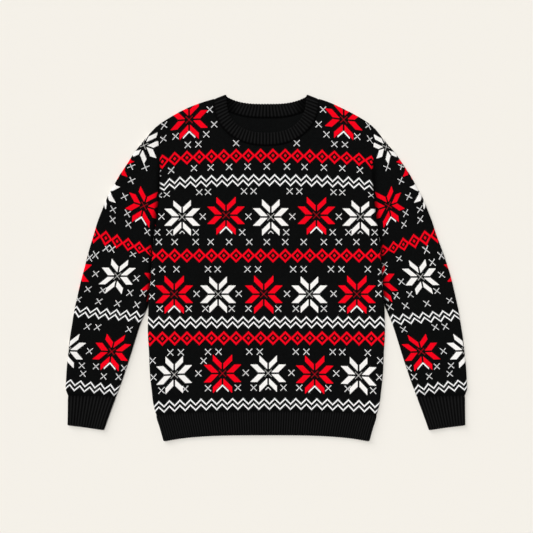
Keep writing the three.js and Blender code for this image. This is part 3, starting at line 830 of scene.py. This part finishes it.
BODY_STARS = [
    (314, [(-162, RED), (162, RED)]),
    (107, [(-270, RED), (-177, WHITE), (9, WHITE), (196, WHITE)]),
    (110, [(-85, RED), (104, RED)]),
    (-55, [(-194, RED), (-102, WHITE_PLAIN), (-5, RED_PLAIN), (90, WHITE_PLAIN), (189, RED)]),
    (-220, [(-193, WHITE_PLAIN), (-92, RED), (3, WHITE)]),
    (-222, [(101, RED)]),
    (-223, [(193, WHITE_PLAIN)]),
]
BODY_CROSSES = [
    (334, [-119, 119]),
    (310, [-214, 214]),
    (302, [-110, 110]),
    (283, [-217, -191, -126, 126, 191, 217]),
    (262, [-165, -143, -63, 63, 143, 165]),
    (212, [-227, -200, -151, -117, -78, -39, 0, 43, 80, 120, 160, 196]),
    (161, [-226, -209, -141, -123, -47, -26, 48, 69, 141, 160, 219]),
    (108, [-220, -134, -38, 55, 152]),
    (-8, [-240, 240]),
    (-32, [-240, 240]),
    (-59, [-240]),
    (75, [-229, -204, -149, -51, 41, 138, 172, 227]),
    (55, [-226, -193, -149, -117, -79, -36, 0, 39, 78, 120, 151, 189, 226]),
    (-2, [-218, -189, -123, -102, -39, -18, 57, 79, 135, 157, 212]),
    (-55, [-146, -58, 43, 140, 235]),
    (-86, [-224, -162, -127, -73, -38, 25, 62, 121, 159, 222]),
    (-176, [-202, -180, -122, -101, -35, -13, 61, 83, 138, 160, 212]),
    (-190, [-238, 238]),
    (-194, [-132]),
    (-220, [-143, -44, 52, 147]),
    (-224, [-236, 236]),
    (-251, [-219, -170, -123, -60, -26, 35, 69, 130, 170, 223]),
]
BODY_BANDS = [
    (235, LOZENGES),
    (184, ZIGZAG),
    (25, LOZENGES),
    (-115, ZIGZAG),
    (-147, LOZENGES),
    (-285, ZIGZAG),
]
SLEEVE_STARS = [
    (257, 257, WHITE_PLAIN),
    (320, 218, RED),
    (345, 164, WHITE_PLAIN),
    (256, 130, RED),
    (417, -173, WHITE_PLAIN),
    (325, -175, RED),
]
SLEEVE_CROSSES = [
    (283, 213), (254, 210), (282, 183), (298, 150), (321, 123), (292, 115), (322, 101), (289, 91),
    (249, 75), (374, -122), (354, -124), (287, -129), (371, -174), (387, -204), (357, -207),
    (298, -211), (384, -222), (341, -227), (309, -229),
]
# The middle of each sleeve, where the two differ
RIGHT_MIDDLE = {
    "stars": [(405, -11, RED), (313, -18, WHITE_PLAIN), (223, -29, RED)],
    "bands": [(302, 52, LOZENGES), (330, -97, ZIGZAG), (367, -251, ZIGZAG)],
    "crosses": [
        (336, 42), (324, 40), (280, 29), (253, 17), (370, 22), (357, 27), (357, -13), (273, -22),
        (374, -45), (343, -47), (287, -53), (258, -54), (394, -66), (352, -70), (312, -74), (271, -78),
    ],
}
LEFT_MIDDLE = {
    "stars": [(412, -12, RED), (324, -19, WHITE_PLAIN), (234, -31, RED)],
    "bands": [(302, 52, LOZENGES), (330, -104, ZIGZAG), (367, -251, ZIGZAG)],
    "crosses": [
        (335, 38), (278, 19), (248, 7), (246, -8), (347, 12), (365, 26), (283, -28), (367, -15),
        (302, -56), (271, -58), (357, -48), (292, -80), (337, -74), (384, -68), (258, -81),
    ],
}


def on_stitch(place):
    """The middle of the stitch at a place in millimetres, counted in stitches."""
    return np.floor(place / STITCH) + 0.5


def between_stitches(place):
    """The nearest meeting of two stitches, counted in stitches."""
    return np.round(place / STITCH)


def before_laying(x, y):
    """The place on the even garment of what shows at a place on the laid one."""
    closer, lower = laid_shift(x, y)
    return x + closer, y + lower


def in_stitches(stars, crosses, bands):
    return {
        "stars": [(between_stitches(u), between_stitches(v), kind) for u, v, kind in stars],
        "crosses": [(on_stitch(u), on_stitch(v), kind) for u, v, kind in crosses],
        "bands": [(between_stitches(v), kind) for v, kind in bands],
    }


def body_chart():
    """The body's motifs, counted in stitches."""
    stars = [(*before_laying(x, v), kind) for v, row in BODY_STARS for x, kind in row]
    crosses = [(*before_laying(x, v), 1) for v, row in BODY_CROSSES for x in row]
    return in_stitches(stars, crosses, BODY_BANDS)


def sleeve_chart(outer_fold, middle, laid):
    """A sleeve's motifs in stitches, and again under the sleeve beyond the outer fold.

    laid finds a cross's place on the even garment; the stars keep theirs by the outer fold.
    """
    fold = outer_fold[np.argsort(outer_fold[:, 1])]

    def placed(x, y):
        return sleeve_knit(np.float64(x), np.float64(y)) / SLEEVE_GAUGE

    def with_underside(places, clear):
        beneath = []
        for u, v, kind in places:
            fold_u = np.interp(v, fold[:, 1], fold[:, 0])
            if fold_u - u > clear:
                beneath.append((2 * fold_u - u, v, kind))
        return places + beneath

    stars = [(*placed(x, y), kind) for x, y, kind in SLEEVE_STARS + middle["stars"]]
    crosses = [(*placed(*laid(x, y)), 1) for x, y in SLEEVE_CROSSES + middle["crosses"]]
    return in_stitches(
        with_underside(stars, STAR_CLEAR),
        with_underside(crosses, CROSS_CLEAR),
        [(placed(x, y)[1], kind) for x, y, kind in middle["bands"]],
    )


# Node arithmetic

def node_operator(operation):
    return lambda *terms: calculate(operation, *terms)


class Number:
    """A node socket that takes part in arithmetic; beside it, plain numbers are constants."""

    def __init__(self, socket):
        self.socket = socket

    __add__ = node_operator("ADD")
    __sub__ = node_operator("SUBTRACT")
    __mul__ = node_operator("MULTIPLY")
    __truediv__ = node_operator("DIVIDE")
    __lt__ = node_operator("LESS_THAN")
    __gt__ = node_operator("GREATER_THAN")
    __abs__ = node_operator("ABSOLUTE")


def new_node(tree, kind, *terms, **settings):
    """A shader node, its properties set and its first inputs fed with sockets, numbers or colours."""
    node = tree.nodes.new("ShaderNode" + kind)
    for name, value in settings.items():
        setattr(node, name, value)
    for socket, term in zip([socket for socket in node.inputs if socket.enabled], terms):
        if isinstance(term, Number):
            tree.links.new(term.socket, socket)
        elif isinstance(term, bpy.types.NodeSocket):
            tree.links.new(term, socket)
        else:
            socket.default_value = (*term, 1) if isinstance(term, tuple) else term
    return node


def calculate(operation, *terms):
    tree = next(term.socket.id_data for term in terms if isinstance(term, Number))
    return Number(new_node(tree, "Math", *terms, operation=operation).outputs[0])


def between(value, low, high):
    return (value > low) * (value < high)


def vector_parts(tree, socket):
    return [Number(output) for output in new_node(tree, "SeparateXYZ", socket).outputs]


def blended(tree, mask, below, above):
    """One colour laid over another by a mask; each is a colour or a socket."""
    node = new_node(tree, "Mix", mask, below, above, data_type="RGBA")
    return next(socket for socket in node.outputs if socket.enabled)


def painted(red, green, blue):
    """A colour given as a screen shows it, from 0 to 255, as light."""
    return tuple(((c / 255 + 0.055) / 1.055) ** 2.4 for c in (red, green, blue))


# Yarns, finishes, shading, floor, light and camera
DARK_YARN = painted(1, 1, 1)
LIGHT_YARN = painted(17, 18, 18)
# The rib's colour on its crests; towards its grooves it goes down to DARK_YARN, as painted shade
RIB_YARN = painted(27, 27, 27)
WHITE_YARN = painted(255, 254, 253)
CREAM_YARN = painted(252, 249, 245)
GREY_YARN = painted(185, 183, 179)
RED_YARN = painted(252, 0, 28)
DEEP_RED_YARN = painted(165, 4, 20)
FLOOR_COLOUR = painted(235, 231, 223)
KNIT_FINISH = {
    "Roughness": 0.9,
    "Specular IOR Level": 0.03,
    "Sheen Weight": 0.005,
    "Sheen Roughness": 0.5,
}
FLOOR_FINISH = {"Roughness": 0.9, "Specular IOR Level": 0.1}
CHECKER_SHARE = 0.7
# Share of the rib's tone that is painted groove shade; the rest differs at random from stitch to stitch
RIB_GROOVE_SHADE_SHARE = 0.85
BASE_SHADE = 0.95
CLOUD_SHADE = 0.14
SPECKLE_SHADE = 0.08
STITCH_SHADE = 0.2
CREASE_SHADE = 0.85
CLOUD_SCALE = 9
CLOUD_DETAIL = 2
FUZZ_SCALE = 900
FUZZ_HEIGHT = 0.3
BUMP_HEIGHT = 0.4
BUMP_STRENGTH = 0.6
FLOOR_SIZE = 60
FLOOR_DEPTH = 0.2
OVERHEAD = {"toward": (0.13, -0.12, -1), "strength": 2.4, "spread": 30}
WINDOW = {"toward": (1.25, -1.45, -1), "strength": 1.4, "spread": 40}
ROOM_STRENGTH = 0.14
CAMERA_HEIGHT = 3.0
FRAME_WIDE = 1.1193
CAMERA_PLACE = (0.0002, 0.0029)


# Materials

def star_masks(u, v, star, is_red):
    """Masks of an eight-petalled star: petals, a stitch longer in red, and the cross in its heart."""
    x, up = abs(u - star[0]), v - star[1]
    y, low = abs(up), up < 0
    span = y - x
    upright = between(x, PETAL_GAP, is_red + PETAL_TIP) * between(span - low, PETAL_INNER + 1, PETAL_OUTER)
    level = between(y, PETAL_GAP, PETAL_TIP) * between(span + is_red, -PETAL_OUTER, -PETAL_INNER)
    petals = calculate("MAXIMUM", upright, level)
    heart = (abs(span) < 0.5) * (x < HEART_REACH)
    return petals, heart


def arrow_mask(u, v, star, place, thick, reach):
    """Mask of the small arrow head between a star's two lower petals."""
    x, down = abs(u - star[0]), star[1] - v
    return (abs(down - x - place) < thick) * (x < reach)


def cross_mask(u, v, cross):
    x, y = abs(u - cross[0]), abs(v - cross[1])
    return (abs(x - y) < 0.5) * (x < CROSS_ARM) * (cross[2] > 0.5)


def band_masks(u, v, band):
    """Masks of the double zigzag and of the chain of lozenges."""
    up = v - band[1]
    part = calculate("FRACT", (u - 0.5 + ZIGZAG_START) / ZIGZAG_STITCHES)
    swing = abs(part * ZIGZAG_STITCHES - ZIGZAG_STITCHES / 2)
    line = abs(abs(up - swing + ZIGZAG_STITCHES / 4) - ZIGZAG_APART)
    zigzag = (line < 1) * (abs(band[2] - ZIGZAG) < 0.5)
    half = LOZENGE_STITCHES / 2
    x = abs(calculate("FRACT", (u - 0.5) / LOZENGE_STITCHES) * LOZENGE_STITCHES - half)
    reach = x + abs(up)
    rim = between(reach, half - LOZENGE_RIM["inside"], half + LOZENGE_RIM["outside"])
    lozenges = calculate("MAXIMUM", rim, reach < LOZENGE_CORE)
    return zigzag, lozenges * (abs(band[2] - LOZENGES) < 0.5)


def random_from(tree, x, y):
    """A fixed random number from 0 to 1 for each pair of whole numbers."""
    pair = new_node(tree, "CombineXYZ", x, y).outputs[0]
    noise = new_node(tree, "TexWhiteNoise", pair, noise_dimensions="2D")
    return Number(noise.outputs["Value"])


def cloud(tree, scale):
    """Soft noise fixed to the garment, about 0.5 on average."""
    place = new_node(tree, "TexCoord").outputs["Object"]
    return Number(new_node(tree, "TexNoise", place, scale, CLOUD_DETAIL).outputs["Fac"])


def new_material(name, finish):
    material = bpy.data.materials.new(name)
    material.use_nodes = True
    shader = material.node_tree.nodes["Principled BSDF"]
    for socket, value in finish.items():
        shader.inputs[socket].default_value = value
    return material, material.node_tree, shader


def knit_material(name, patterned):
    """Knitted wool: every stitch is one cell of the knit coordinates, with two slanted legs."""
    material, tree, shader = new_material(name, KNIT_FINISH)
    u, v, _ = vector_parts(tree, new_node(tree, "UVMap", uv_map="knit").outputs["UV"])
    u, v = u / STITCH, v / STITCH
    column = calculate("FLOOR", u)
    leg = abs(u - column - 0.5)
    rise = v - leg * LEG_SLANT + LEG_SLANT / 4
    course = calculate("FLOOR", rise)
    along = rise - course

    speckle = random_from(tree, column, course)
    parity = abs(calculate("FRACT", (column + course) * 0.5)) * 2
    if patterned:
        lightness = parity * CHECKER_SHARE + speckle * (1 - CHECKER_SHARE)
        tone = blended(tree, lightness, DARK_YARN, LIGHT_YARN)
        tone = jacquard(tree, tone, column + 0.5, course + 0.5)
    else:
        # Painted shade: each rib is lighter along its crest and darker down into its grooves, with a random
        # share from stitch to stitch
        crest = calculate("SINE", calculate("FRACT", u / RIB_STITCHES) * math.pi)
        lightness = crest * crest * crest * RIB_GROOVE_SHADE_SHARE + speckle * (1 - RIB_GROOVE_SHADE_SHARE)
        tone = blended(tree, lightness, DARK_YARN, RIB_YARN)
    groove = calculate("POWER", abs(leg - 0.25) * 4, 2.0)
    depth = calculate("POWER", abs(along - 0.5) * 2, 3.0)
    shade = cloud(tree, CLOUD_SCALE) * CLOUD_SHADE + speckle * SPECKLE_SHADE + BASE_SHADE
    # Darker between a stitch's two legs and at its ends: partly painted shade in the crevices between the
    # yarns, partly the dark ground showing between stitches
    shade = shade * (groove * -STITCH_SHADE + 1) * (depth * -STITCH_SHADE + 1)
    # Painted shade: darkens the colour in seams and creases
    painted_shade = new_node(tree, "Attribute", attribute_name="painted_shade")
    shade = shade * (Number(painted_shade.outputs["Fac"]) * -CREASE_SHADE + 1)
    toned = new_node(tree, "VectorMath", tone, shade, operation="SCALE")
    tree.links.new(toned.outputs[0], shader.inputs["Base Color"])

    bump = new_node(tree, "Bump")
    bump.inputs["Distance"].default_value = BUMP_HEIGHT * MM
    bump.inputs["Strength"].default_value = BUMP_STRENGTH
    height = (groove * -1 + 1) * (depth * -1 + 1) + cloud(tree, FUZZ_SCALE) * FUZZ_HEIGHT
    tree.links.new(height.socket, bump.inputs["Height"])
    tree.links.new(bump.outputs[0], shader.inputs["Normal"])
    return material


def jacquard(tree, ground, u, v):
    """The pattern's colours over the ground, at the middle of a stitch."""
    star, cross, band = (
        vector_parts(tree, new_node(tree, "Attribute", attribute_name=part).outputs["Vector"])
        for part in ("star", "cross", "band")
    )
    is_star, has_arrow = star[2] > 0.5, star[2] < 2.5
    is_red = is_star * (calculate("FRACT", star[2] / 2) < 0.25)
    petals, heart = star_masks(u, v, star, is_red)
    is_white = is_star - is_red
    zigzag, lozenges = band_masks(u, v, band)
    red_arrow = arrow_mask(u, v, star, **RED_ARROW) * is_red
    white_arrow = arrow_mask(u, v, star, **WHITE_ARROW) * is_white
    arrow = calculate("MAXIMUM", red_arrow, white_arrow) * has_arrow
    layers = [
        (cross_mask(u, v, cross), WHITE_YARN),
        (zigzag, WHITE_YARN),
        (lozenges, RED_YARN),
        (heart * is_star, blended(tree, is_red, GREY_YARN, DEEP_RED_YARN)),
        (petals * is_star, blended(tree, is_red, CREAM_YARN, RED_YARN)),
        (arrow, WHITE_YARN),
    ]
    tone = ground
    for mask, colour in layers:
        tone = blended(tree, mask, tone, colour)
    return tone


# Pieces

def dress(shape, name, chart=None, ring=True):
    """Makes one piece of the garment in place of its solid."""
    piece, face_knit, is_skin, cap_count = wall(name + "_knit", *shape, ring)
    if chart:
        set_pattern(piece, chart, face_knit, is_skin, cap_count)
    slot = "jacquard_knit" if chart else "rib_knit"
    piece.data.materials.append(knits[slot])
    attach(piece, "root")
    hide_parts(name)
    return piece


def flipped_chart(chart):
    """A chart for the -X side."""
    flipped = {part: [(-u, v, kind) for u, v, kind in chart[part]] for part in ("stars", "crosses")}
    return {**chart, **flipped}


knits = {
    "jacquard_knit": knit_material("christmas jacquard", patterned=True),
    "rib_knit": knit_material("black rib", patterned=False),
}

sleeve_shape = sleeve()
cuff_shape = cuff()
outer_fold = sleeve_shape[2][:, 2 * FOLD_STEPS + SLEEVE_COLUMNS]
left_pattern = sleeve_chart(outer_fold, LEFT_MIDDLE, before_laying)
right_pattern = sleeve_chart(outer_fold, RIGHT_MIDDLE, lambda x, y: (x, y))
pieces = {
    "front_panel": dress(laid_in(*body_panel(True)), "front_panel", body_chart(), ring=False),
    "back_panel": dress(laid_in(*body_panel(False)), "back_panel", body_chart(), ring=False),
    "left_sleeve": dress(laid_in(*sleeve_shape), "left_sleeve", left_pattern),
    "right_sleeve": dress(mirrored(*sleeve_shape), "right_sleeve", flipped_chart(right_pattern)),
    "left_cuff": dress(cuff_shape, "left_cuff"),
    "right_cuff": dress(mirrored(*cuff_shape), "right_cuff"),
    "hem_rib_front": dress(hem_rib(True), "hem_rib_front", ring=False),
    "hem_rib_back": dress(hem_rib(False), "hem_rib_back", ring=False),
    "neckband": dress(neckband(), "neckband"),
}


# Floor, light and camera

def daylight(name, toward, strength, spread):
    """Even light over the whole floor from one side, soft-edged by its spread in degrees."""
    light = bpy.data.lights.new(name, "SUN")
    light.energy = strength
    light.angle = math.radians(spread)
    holder = new_object(name, light)
    holder.rotation_euler = Vector(toward).to_track_quat("-Z", "Y").to_euler()


bpy.ops.mesh.primitive_plane_add(size=FLOOR_SIZE, location=(0, 0, -FLOOR_DEPTH * MM))
plane = bpy.context.object
plane.name = "floor"
paper, _, paper_shader = new_material("paper", FLOOR_FINISH)
paper_shader.inputs["Base Color"].default_value = (*FLOOR_COLOUR, 1)
plane.data.materials.append(paper)

daylight("overhead", **OVERHEAD)
daylight("window", **WINDOW)
room = bpy.data.worlds.new("room")
room.use_nodes = True
background = room.node_tree.nodes["Background"]
background.inputs["Color"].default_value = (1, 1, 1, 1)
background.inputs["Strength"].default_value = ROOM_STRENGTH
bpy.context.scene.world = room

camera_data = bpy.data.cameras.new("camera")
camera_data.lens = camera_data.sensor_width * CAMERA_HEIGHT / FRAME_WIDE
camera = new_object("camera", camera_data)
camera.location = (*CAMERA_PLACE, CAMERA_HEIGHT)
bpy.context.scene.camera = camera
bpy.context.scene.view_settings.view_transform = "Standard"
